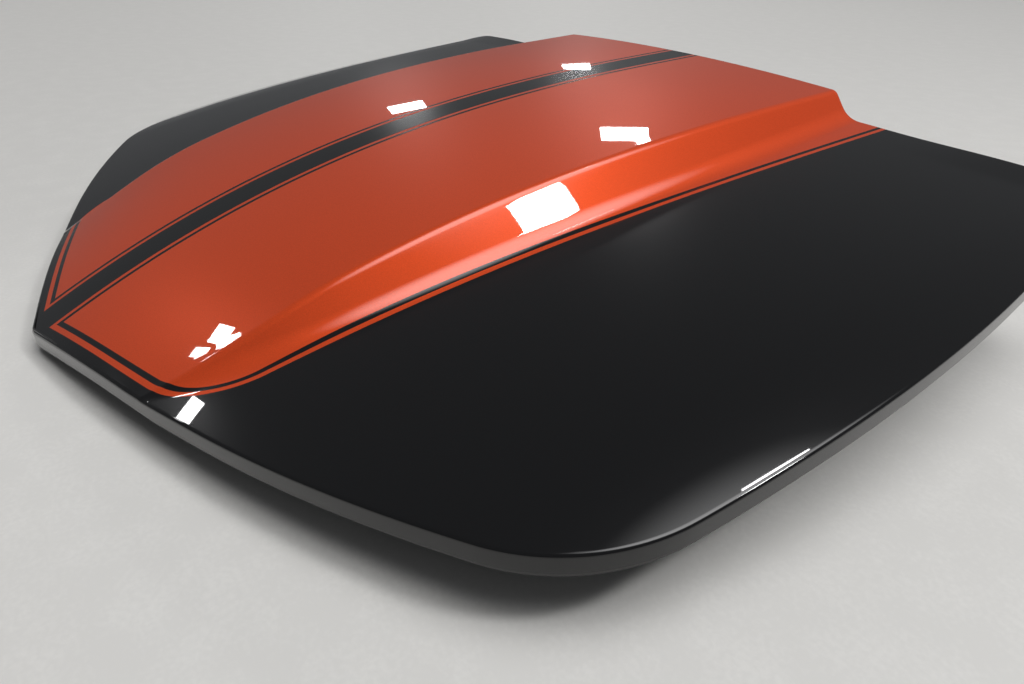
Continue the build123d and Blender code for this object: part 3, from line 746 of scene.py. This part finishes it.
@dataclass
class SkinPanel:
    """The outer skin as painted metal: a rounded edge, a turned-down hem and a plain underside."""

    finishes: Finishes
    lip_radius: float = 3.2
    thickness: float = 2.0
    hem: float = 20.0
    stripe_behind_edge: float = 14.15
    edge_steps: tuple = (0.0, 0.35, 0.9, 1.7, 2.7, 4.5, 8.0, 14.0)
    middle_rows: int = 112
    segments: tuple = (26, 6, 5, 8, 7, 26, 8)
    stripe_margin: float = 60.0
    roll_margin: float = 30.0
    rounds: int = 60
    off_stripe: float = -100.0

    def _half_grid(self, outline: Outline) -> tuple[np.ndarray, np.ndarray]:
        """Plan points of the left half, columns along the bulge's lines and the side edge.

        Column lines are x = K(y) + f (K'(y) - K(y)) between neighbouring knots K and K', and
        rows are y = front(x) + a + b (rear(x) - front(x)). The two are met by repeating them.
        """
        steps = np.array(self.edge_steps)
        last = steps[-1]
        middle = np.linspace(0, 1, self.middle_rows)[1:-1]
        a = np.concatenate([steps, last * (1 - 2 * middle), -steps[::-1]])[:, None]
        b = np.concatenate([0 * steps, middle, 1 + 0 * steps])[:, None]
        part = np.concatenate([np.full(n, k) for k, n in enumerate(self.segments)])
        share = np.concatenate([np.arange(n) / n for n in self.segments])
        outer = len(self.segments)
        edge = steps[::-1]
        part = np.concatenate([part, outer + np.arange(len(edge) - 1), [outer + len(edge) - 2]])
        share = np.concatenate([share, np.zeros(len(edge) - 1), [1.0]])
        y = np.zeros((len(a), len(part))) + 600.0
        for _ in range(self.rounds):
            width = outline.side_at(y)
            start, slope_start, slope_end, stop, _ = FORM.turns(y)
            stripe = np.minimum(self.stripe_edge(y), width - self.stripe_margin)
            roll = np.minimum(FORM.roll_start, width - self.roll_margin)
            knots = [0 * y, start, slope_start, slope_end, stop, stripe, roll]
            knots += [width - step for step in edge]
            knots = np.stack(knots)
            knots[:outer] = np.minimum(knots[:outer], width - last - 1)
            columns = np.arange(len(part))
            low = knots[part, :, columns].T
            high = knots[part + 1, :, columns].T
            x = low + share * (high - low)
            front, rear = outline.front_at(x), outline.rear_at(x)
            y = front + a + b * (rear - front)
        return x, y

    @staticmethod
    def stripe_edge(y: np.ndarray) -> np.ndarray:
        """Distance of the stripe's outer edge from the centre line, at y."""
        at_nose, slope, bend = STRIPE_EDGE
        return at_nose + slope * y + bend * y**2

    @staticmethod
    def _whole(half: np.ndarray, sign: float) -> np.ndarray:
        """The left half's values with its mirror image before them, times sign."""
        return np.concatenate([half[:, :0:-1] * sign, half], axis=1)

    @staticmethod
    def _rim(rows: int, columns: int) -> np.ndarray:
        """Numbers of a grid's outer points, counter-clockwise from above."""
        number = np.arange(rows * columns).reshape(rows, columns)
        return np.concatenate(
            [number[0, :-1], number[:-1, -1], number[-1, :0:-1], number[:0:-1, 0]]
        )

    def build(self) -> bpy.types.Object:
        """Builds the closed shell with its own normals and its distances to the stripe's edges.

        The top is the form less r - sqrt(r2 - (r - d)2) within r of the edge, where d is the
        distance to the outline. Its normal is (-fx c - s dx, -fy c - s dy, c), with s and c the
        sine and cosine of the lip's turn.
        """
        outer, inner = Outline(), Outline(self.thickness)
        half_x, half_y = self._half_grid(outer)
        x, y = self._whole(half_x, -1).ravel(), self._whole(half_y, 1).ravel()
        rows, columns = half_x.shape[0], 2 * half_x.shape[1] - 1
        edge, away = outer.nearest(x, y)
        turn = np.arcsin(np.clip((self.lip_radius - edge) / self.lip_radius, 0, 1))
        top = FORM.in_part(x, y, self.lip_radius * (1 - np.cos(turn)))
        slope_x, slope_y = FORM.gradient(x, y)
        top_normal = np.stack(
            [
                -slope_x * np.cos(turn) - away[:, 0] * np.sin(turn),
                -slope_y * np.cos(turn) - away[:, 1] * np.sin(turn),
                np.cos(turn),
            ],
            axis=-1,
        )
        under_half_x, under_half_y = self._half_grid(inner)
        under_x = self._whole(under_half_x, -1).ravel()
        under_y = self._whole(under_half_y, 1).ravel()
        under = FORM.in_part(under_x, under_y, self.thickness)
        under_slope = FORM.gradient(under_x, under_y)
        under_normal = np.stack([*under_slope, -np.ones_like(under_x)], axis=-1)

        rim = self._rim(rows, columns)
        low_outer = FORM.in_part(x[rim], y[rim], self.hem)
        low_inner = FORM.in_part(under_x[rim], under_y[rim], self.hem)
        count, size = rows * columns, len(rim)
        top_ring, under_ring = rim, count + rim
        outer_ring = 2 * count + np.arange(size)
        inner_ring = outer_ring + size

        def strip(a: np.ndarray, b: np.ndarray) -> np.ndarray:
            """Quads between two rings: a, next a, next b, b."""
            return np.stack([a, np.roll(a, -1), np.roll(b, -1), b], axis=-1)

        under_faces = grid_faces(rows, columns, count)[:, ::-1]
        groups = [
            grid_faces(rows, columns),
            strip(outer_ring, top_ring),
            strip(inner_ring, outer_ring),
            strip(under_ring, inner_ring),
            under_faces,
        ]
        points = np.concatenate([top, under, low_outer, low_inner])
        piece = new_object(
            "skin", points, groups, "bonnet", self.finishes.by_slot["body_paint"]
        )
        mesh = piece.data
        ring_normal = np.zeros((size, 3))
        ring_normal[:, :2] = -away[rim]
        shared = np.concatenate([top_normal, under_normal, ring_normal, -ring_normal])
        shared /= np.linalg.norm(shared, axis=1, keepdims=True)
        corner = np.concatenate(groups).ravel()
        normals = shared[corner]
        sizes = np.cumsum([0] + [4 * len(g) for g in groups])
        normals[sizes[2] : sizes[3]] = (0, 0, -1)
        inward = np.concatenate([-ring_normal, -ring_normal])
        inward_of = np.full(len(shared), 0)
        inward_of[under_ring] = np.arange(size)
        inward_of[inner_ring] = size + np.arange(size)
        normals[sizes[3] : sizes[4]] = inward[inward_of[corner[sizes[3] : sizes[4]]]]
        if len(mesh.loops) == len(corner):
            mesh.normals_split_custom_set(normals.tolist())
        else:
            LOG.warning("skin: %d faces were dropped", (len(corner) - len(mesh.loops)) // 4)
        self._store_distances(mesh, outer)
        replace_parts(piece, "outer_skin")
        return piece

    def _store_distances(self, mesh: bpy.types.Mesh, outline: Outline) -> None:
        """Writes the distances in mm that the stripe mask reads.

        from_front is the gap to the skin's front edge along y, times the cosine of that edge's
        slope, less the bare margin. from_outer is the gap across to the stripe's outer edge, and
        from_centre is the distance from the centre line. The underside lies outside the stripe.
        """
        co = np.zeros(len(mesh.vertices) * 3, np.float32)
        mesh.vertices.foreach_get("co", co)
        co = co.reshape(-1, 3) / MM
        x, y = np.abs(co[:, 0]), co[:, 1] - FORM.nose_y
        front = np.polynomial.Polynomial(FRONT_EDGE)
        slope = front.deriv()(x)
        values = {
            "from_front": (y - front(x)) / np.sqrt(1 + slope**2) - self.stripe_behind_edge,
            "from_outer": self.stripe_edge(y) - x,
            "from_centre": x,
        }
        normals = np.zeros(len(mesh.vertices) * 3, np.float32)
        mesh.vertices.foreach_get("normal", normals)
        hidden = normals.reshape(-1, 3)[:, 2] < -0.2
        for name, value in values.items():
            value = np.where(hidden, self.off_stripe, value) if name != "from_centre" else value
            attribute = mesh.attributes.new(name, "FLOAT", "POINT")
            attribute.data.foreach_set("value", value.astype(np.float32))


@dataclass
class PadCover:
    """The insulation pad: pressed fleece with quilted lines and a thin pressed rim."""

    finishes: Finishes
    front: float = 205.0
    rear: float = 1060.0
    half_front: float = 240.0
    half_rear: float = 290.0
    corner: float = 60.0
    seat: float = PAN_DEPTH
    thick: float = 9.0
    rim: float = 16.0
    rim_thick: float = 3.0
    pitch: float = 96.0
    groove: float = 7.0
    groove_share: float = 0.62
    crowding: float = 1.25
    end_steps: tuple = (0.0, 0.8, 3.0, 7.0, 13.0, 21.0, 32.0, 45.0, 60.0)

    def build(self) -> bpy.types.Object:
        """Two grids over the pad's plan, joined at the rim.

        Thickness = rim_thick + (thick - rim_thick) * step * (1 - groove_share * groove), where
        groove is exp(-(s / groove)2) at s from a quilted line and step is a cosine step over
        the rim's width.
        """
        steps = np.array(self.end_steps)
        middle = np.linspace(self.front + steps[-1], self.rear - steps[-1], 120)[1:-1]
        y = np.concatenate([self.front + steps, middle, self.rear - steps[::-1]])[:, None]
        to_end = np.minimum(y - self.front, self.rear - y)
        half = self.half_front + (self.half_rear - self.half_front) * (y - self.front) / (
            self.rear - self.front
        )
        short = np.maximum(0, self.corner - to_end)
        half = half - (self.corner - np.sqrt(np.maximum(0, self.corner**2 - short**2)))
        u = np.linspace(-1, 1, 101)
        u = np.sign(u) * (1 - (1 - np.abs(u)) ** self.crowding)
        x = half * u
        y = y + 0 * x
        edge = np.minimum(half - np.abs(x), np.minimum(y - self.front, self.rear - y))
        wave = self.pitch / np.pi
        lines = np.abs(np.sin((x + y) / wave) * wave), np.abs(np.sin((x - y) / wave) * wave)
        groove = np.maximum(*(np.exp(-((line / self.groove) ** 2)) for line in lines))
        step = 0.5 - 0.5 * np.cos(np.pi * np.clip(edge / self.rim, 0, 1))
        swell = (self.thick - self.rim_thick) * step
        thickness = self.rim_thick + swell * (1 - self.groove_share * groove)
        upper = FORM.in_part(x, y, self.seat).reshape(-1, 3)
        lower = FORM.in_part(x, y, self.seat + thickness).reshape(-1, 3)
        rows, columns = x.shape
        rim = SkinPanel._rim(rows, columns)
        count = rows * columns
        wall = np.stack(
            [count + rim, count + np.roll(rim, -1), np.roll(rim, -1), rim], axis=-1
        )
        faces = [
            grid_faces(rows, columns),
            grid_faces(rows, columns, count)[:, ::-1],
            wall,
        ]
        piece = new_object(
            "pad_cover",
            np.concatenate([upper, lower]),
            faces,
            "bonnet",
            self.finishes.by_slot["pad_cloth"],
        )
        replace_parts(piece, "insulation_pad")
        return piece


@dataclass
class Seals:
    """The two rubber seals under the inner frame: a flat foot with a round bulb."""

    finishes: Finishes
    seat: float = PAN_DEPTH
    half_width: float = 7.0
    foot: float = 6.0
    step: float = 9.0
    front_inset: float = 24.0
    front_end: float = 330.0
    cowl_inset: float = 16.0
    cowl_start: float = 1130.0

    def _sweep(self, name: str, node: str, ring: np.ndarray) -> bpy.types.Object:
        """Carries the bulb's profile along a plan line: point = line + across * left normal.

        Its depth under the skin is the seat plus the profile's own depth.
        """
        line = resampled(ring, self.step)
        normal = left_normals(line)
        turn = np.linspace(np.pi, 0, 13)
        across = np.concatenate(
            [[self.half_width, -self.half_width], self.half_width * np.cos(turn)]
        )
        depth = np.concatenate([[0.0, 0.0], self.foot + self.half_width * np.sin(turn)])
        x = line[:, :1] + normal[:, :1] * across
        y = line[:, 1:] + normal[:, 1:] * across
        points = FORM.in_part(x, y, self.seat + depth)
        rows, columns = x.shape
        first = np.arange(columns)
        last = (rows - 1) * columns + first
        faces = [grid_faces(rows, columns, wrap=True), first[::-1][None], last[None]]
        piece = new_object(
            name,
            points.reshape(-1, 3),
            faces,
            "bonnet",
            self.finishes.by_slot["seal_rubber"],
        )
        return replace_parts(piece, node)

    def build(self) -> list[bpy.types.Object]:
        """Both seals, along the middle of the solids' strips."""
        front = Outline(self.front_inset + self.half_width).ring(-np.inf, self.front_end)
        cowl = Outline(self.cowl_inset + self.half_width).ring(self.cowl_start, np.inf)
        return [
            self._sweep("front_seal_bulb", "front_seal", front),
            self._sweep("cowl_seal_bulb", "cowl_seal", cowl),
        ]


@dataclass
class RefittedSheets:
    """The solids that follow the skin from below, moved down where its bulge fades out.

    Each point moves by height(x, y) of the dressed form less that of the solids' form.
    """

    finishes: Finishes
    nodes: tuple = (
        ("inner_frame", "inner_paint"),
        ("latch_plate", "plated_steel"),
        ("bump_stops", "stop_rubber"),
    )

    def build(self) -> list[bpy.types.Object]:
        """Copies each node's mesh, moves its points and lets it stand for the node."""
        return [self._refit(node, slot) for node, slot in self.nodes]

    def _refit(self, node: str, slot: str) -> bpy.types.Object:
        """One refitted copy.

        Args:
            node: Name of the CAD node.
            slot: Material slot of the record.

        Returns:
            The new piece.
        """
        mesh = frame["nodes"][node].data.copy()
        mesh.name = node + "_refitted"
        points = np.zeros(len(mesh.vertices) * 3, np.float32)
        mesh.vertices.foreach_get("co", points)
        points = points.reshape(-1, 3).astype(float) / MM
        x, y = points[:, 0], points[:, 1] - FORM.nose_y
        points[:, 2] += FORM.height(x, y) - SOLID_FORM.height(x, y)
        mesh.vertices.foreach_set("co", (points * MM).astype(np.float32).ravel())
        mesh.materials.clear()
        mesh.materials.append(self.finishes.by_slot[slot])
        mesh.shade_smooth()
        mesh.set_sharp_from_angle(angle=SHARP_ANGLE)
        piece = bpy.data.objects.new(mesh.name, mesh)
        bpy.context.scene.collection.objects.link(piece)
        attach(piece, "bonnet")
        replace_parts(piece, node)
        return piece


@dataclass(frozen=True)
class BoltSize:
    """Sizes in mm of a flanged hexagon head."""

    flange_radius: float
    flange: float
    corner_radius: float
    head: float


@dataclass
class Fasteners:
    """Bolt heads under the pan, clips that hold the pad and the rolled ends of the struts.

    Bolts and balls are placed in the part's frame, clips by x and the distance from the nose.
    What lies off the centre line is made on both sides.
    """

    finishes: Finishes
    large: BoltSize = BoltSize(9.5, 1.6, 7.5, 6.0)
    small: BoltSize = BoltSize(7.0, 1.3, 5.8, 4.6)
    seat: float = PAN_DEPTH
    plate: float = 2.5
    flange: float = 3.0
    sink: float = 0.15
    arm_bolts: tuple = ((678.5, -108.0), (678.5, -62.0), (678.5, -16.0))
    bracket_bolts: tuple = ((709.0, -294.0), (709.0, -266.0))
    plate_bolts: tuple = ((88.0, -1002.0), (88.0, -958.0))
    clips: tuple = ((196.0, 262.0), (232.0, 520.0), (240.0, 780.0), (238.0, 1008.0))
    middle_clips: tuple = ((0.0, 236.0), (0.0, 1030.0))
    tube_ball: tuple = (680.0, -280.0, 27.0)
    rod_ball: tuple = (680.0, 11.365, -19.547)
    tube_end: float = 214.5

    def _bolt(self, place: np.ndarray, axis: np.ndarray, size: BoltSize) -> tuple:
        """A round flange with a hexagon on it: two lathed forms, the second with six sides."""
        rim = size.flange_radius
        low = (-self.sink, 0.0), (-self.sink, rim), (0.6 * size.flange, rim)
        flange = [*low, (size.flange, 0.9 * rim), (size.flange, 0.0)]
        top = size.flange + size.head
        corner = size.corner_radius
        head = [(size.flange - 0.2, 0.0), (size.flange - 0.2, corner), (top - 1.0, corner)]
        head += [(top, 0.84 * corner), (top, 0.6 * corner), (top - 0.7, 0.5 * corner)]
        head += [(top - 0.7, 0.0)]
        return joined([lathe(flange, place, axis, 36), lathe(head, place, axis, 6)])

    def _under_pan(self, spots: tuple, depth: float, size: BoltSize, base: bool) -> tuple:
        """Bolts on both sides that point down from a face depth under the skin or its base.

        The axis is the face's normal: (fx, fy, -1), from the slopes of its height.
        """
        made = []
        for across, along in spots:
            for side in Side:
                x, y = np.array([side.value * across]), np.array([along - FORM.nose_y])
                height = FORM.base if base else FORM.height
                z = height(x, y) + FORM.nose_z - depth
                fx = height(x + 5, y) - height(x - 5, y)
                fy = height(x, y + 5) - height(x, y - 5)
                axis = np.array([fx[0] / 10, fy[0] / 10, -1.0])
                place = np.array([x[0], y[0] + FORM.nose_y, z[0]])
                made.append(self._bolt(place, axis, size))
        return joined(made)

    def _clip(self, across: float, along: float) -> tuple:
        """A domed clip, pressed into the pad: a shallow cap with a dimple."""
        x, y = np.array([across]), np.array([along])
        fx, fy = FORM.gradient(x, y)
        place = FORM.in_part(x, y, self.seat)[0]
        profile = [(2.0, 0.0), (2.0, 12.5), (8.2, 12.5), (9.0, 11.6), (9.6, 8.0), (9.8, 4.6)]
        profile += [(8.8, 3.9), (8.8, 0.0)]
        return lathe(profile, place, (fx[0], fy[0], -1.0), 32)

    def _gland(self, side: Side) -> tuple:
        """The tube's rolled end: a ring with a groove and a rounded lip round the rod."""
        start, end = np.array(self.tube_ball), np.array(self.rod_ball)
        start[0] *= side.value
        end[0] *= side.value
        axis = (end - start) / np.linalg.norm(end - start)
        profile = [(-16.0, 8.9), (-15.2, 9.35), (-11.0, 9.35), (-10.2, 9.05), (-8.4, 9.05)]
        profile += [(-7.6, 9.35), (-1.2, 9.35), (0.5, 8.3), (0.9, 6.8), (0.9, 4.6), (-1.0, 4.5)]
        points, faces = lathe(profile, start + self.tube_end * axis, axis, 40)
        return points, faces[:1]

    def build(self) -> list[bpy.types.Object]:
        """Makes every group of fasteners as one piece."""
        on_flange = self.seat + self.flange
        groups = [
            ("hinge_arm_bolts", self.arm_bolts, on_flange, self.large, True),
            ("strut_bracket_bolts", self.bracket_bolts, on_flange, self.small, True),
            ("latch_plate_bolts", self.plate_bolts, self.seat + self.plate, self.large, False),
        ]
        made = []
        steel = self.finishes.by_slot["plated_steel"]
        for name, *layout in groups:
            points, faces = self._under_pan(*layout)
            made.append(new_object(name, points, faces, "bonnet", steel))
        spots = [(side.value * x, y) for x, y in self.clips for side in Side]
        points, faces = joined([self._clip(x, y) for x, y in (*spots, *self.middle_clips)])
        rubber = self.finishes.by_slot["stop_rubber"]
        made.append(new_object("pad_clips", points, faces, "bonnet", rubber))
        paint = self.finishes.by_slot["strut_paint"]
        for side in Side:
            name = side.name.lower()
            points, faces = self._gland(side)
            piece = new_object(
                f"strut_gland_{name}", points, faces, f"tube_{name}", paint
            )
            made.append(piece)
        return made


@dataclass(frozen=True)
class Lamp:
    """A rectangular lamp: its place and aim in metres, its two widths and its power in watts."""

    name: str
    place: tuple
    aim: tuple
    extent: tuple
    power: float


@dataclass
class Studio:
    """Floor, lamps, world and the camera of the photograph, in metres and radians.

    The lamps stand where the photograph's lamps are mirrored in the paint. The glow's edge and
    core are angles in degrees from its middle.
    """

    finishes: Finishes
    floor_gap: float = 0.01
    floor_half: float = 40.0
    eye: tuple = (1.0839, -1.0916, 0.4293)
    yaw: float = 0.61476601
    pitch: float = 0.53125012
    roll: float = 0.01775953
    focal_pixels: float = 746.877
    picture_width: int = 1024
    lamps: tuple = (
        Lamp("slope_light", (2.61, 0.78, 3.0), (0.35, -0.53, 0.10), (0.55, 0.42), 45.0),
        Lamp("top_light", (-3.73, 3.21, 3.0), (0.29, -0.34, 0.14), (0.5, 0.26), 14.0),
        Lamp("nose_light", (-3.80, -3.05, 3.0), (0.29, -0.96, 0.0), (0.15, 0.10), 1.9),
        Lamp("corner_light", (-0.241, -1.165, 0.379), (0.35, -1.0, -0.05), (0.062, 0.031), 0.22),
        Lamp("far_light", (-7.63, 2.53, 3.0), (-0.07, -0.5, 0.13), (0.55, 0.25), 14.0),
        Lamp("rear_light", (-8.84, 6.75, 3.0), (0.1, -0.1, 0.16), (0.5, 0.3), 14.0),
        Lamp("edge_light", (0.415, 0.745, 3.0), (0.2, -0.35, 0.0), (0.025, 0.5), 1.5),
    )
    glow_toward: tuple = (0.22, 0.20, 0.9548)
    glow_strength: float = 5.5
    glow_edge: float = 28.0
    glow_core: float = 6.0
    room_color: tuple = (0.80, 0.82, 0.85, 1.0)
    room_strength: float = 0.16

    def build(self) -> None:
        """Makes the floor, the lamps, the world and the camera."""
        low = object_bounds()[0].z - self.floor_gap
        mesh = bpy.data.meshes.new("floor")
        size = self.floor_half
        corners = [(-size, -size, low), (size, -size, low), (size, size, low), (-size, size, low)]
        mesh.from_pydata(corners, [], [(0, 1, 2, 3)])
        mesh.materials.append(self.finishes.floor)
        floor = bpy.data.objects.new("floor", mesh)
        bpy.context.scene.collection.objects.link(floor)
        floor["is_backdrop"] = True
        for lamp in self.lamps:
            light = bpy.data.lights.new(lamp.name, "AREA")
            light.shape = "RECTANGLE"
            light.size, light.size_y = lamp.extent
            light.energy = lamp.power
            holder = bpy.data.objects.new(lamp.name, light)
            place = np.array(lamp.place)
            toward = np.array(lamp.aim) - place
            holder.matrix_world = self._facing(place, toward, np.array([0, 0, 1.0]))
            bpy.context.scene.collection.objects.link(holder)
        bpy.context.scene.world = self._world()
        bpy.context.scene.view_settings.view_transform = "Standard"
        self._camera()

    def _world(self) -> bpy.types.World:
        """A dim grey room with a soft glow above: strength * smoothstep of the angle's cosine."""
        world = bpy.data.worlds.new("studio")
        world.use_nodes = True
        shader = Shader(world.node_tree)
        backdrop = world.node_tree.nodes["Background"]
        backdrop.inputs["Color"].default_value = self.room_color
        backdrop.inputs["Strength"].default_value = self.room_strength
        way = shader.node("ShaderNodeTexCoord").outputs["Generated"]
        cosine = shader.node("ShaderNodeVectorMath", operation="DOT_PRODUCT", Vector=way)
        cosine.inputs[1].default_value = self.glow_toward
        share = shader.node(
            "ShaderNodeMapRange", interpolation_type="SMOOTHSTEP", Value=cosine.outputs["Value"]
        )
        share.inputs["From Min"].default_value = np.cos(np.radians(self.glow_edge))
        share.inputs["From Max"].default_value = np.cos(np.radians(self.glow_core))
        strength = shader.math("MULTIPLY", share.outputs[0], self.glow_strength)
        glow = shader.node("ShaderNodeBackground", Strength=strength)
        glow.inputs["Color"].default_value = (1.0, 1.0, 1.0, 1.0)
        both = shader.node("ShaderNodeAddShader")
        link = world.node_tree.links.new
        link(backdrop.outputs[0], both.inputs[0])
        link(glow.outputs[0], both.inputs[1])
        link(both.outputs[0], world.node_tree.nodes["World Output"].inputs["Surface"])
        return world

    @staticmethod
    def _facing(place: np.ndarray, forward: np.ndarray, up: np.ndarray) -> Matrix:
        """Matrix that puts an object at place with its -Z along forward and its Y near up."""
        forward = forward / np.linalg.norm(forward)
        right = np.cross(forward, up)
        right /= np.linalg.norm(right)
        up = np.cross(right, forward)
        matrix = np.identity(4)
        matrix[:3, 0], matrix[:3, 1], matrix[:3, 2], matrix[:3, 3] = right, up, -forward, place
        return Matrix(matrix.tolist())

    def _camera(self) -> None:
        """The camera where the photograph was taken from, turned by its yaw, pitch and roll."""
        cos, sin = np.cos, np.sin
        forward = np.array(
            [-cos(self.pitch) * cos(self.yaw), cos(self.pitch) * sin(self.yaw), -sin(self.pitch)]
        )
        right = np.cross(forward, (0, 0, 1))
        right /= np.linalg.norm(right)
        up = np.cross(right, forward)
        turned = -sin(self.roll) * right + cos(self.roll) * up
        camera = bpy.data.cameras.new("photo_camera")
        camera.sensor_fit = "HORIZONTAL"
        camera.sensor_width = 36.0
        camera.lens = self.focal_pixels * camera.sensor_width / self.picture_width
        camera.clip_start = 0.02
        camera.clip_end = 200.0
        holder = bpy.data.objects.new("photo_camera", camera)
        holder.matrix_world = self._facing(np.array(self.eye), forward, turned)
        bpy.context.scene.collection.objects.link(holder)
        bpy.context.scene.camera = holder


def main() -> None:
    """Builds every piece in order and reports each one."""
    logging.basicConfig(level=logging.INFO, format="%(name)s: %(message)s")
    finishes = Finishes()
    finishes.dress_solids()
    LOG.info("solids dressed")
    made = [SkinPanel(finishes).build(), PadCover(finishes).build()]
    made += Seals(finishes).build()
    made += RefittedSheets(finishes).build()
    made += Fasteners(finishes).build()
    for piece in made:
        LOG.info("%s: %d faces", piece.name, len(piece.data.polygons))
    Studio(finishes).build()
    LOG.info("studio ready")


if __name__ == "__main__":
    main()
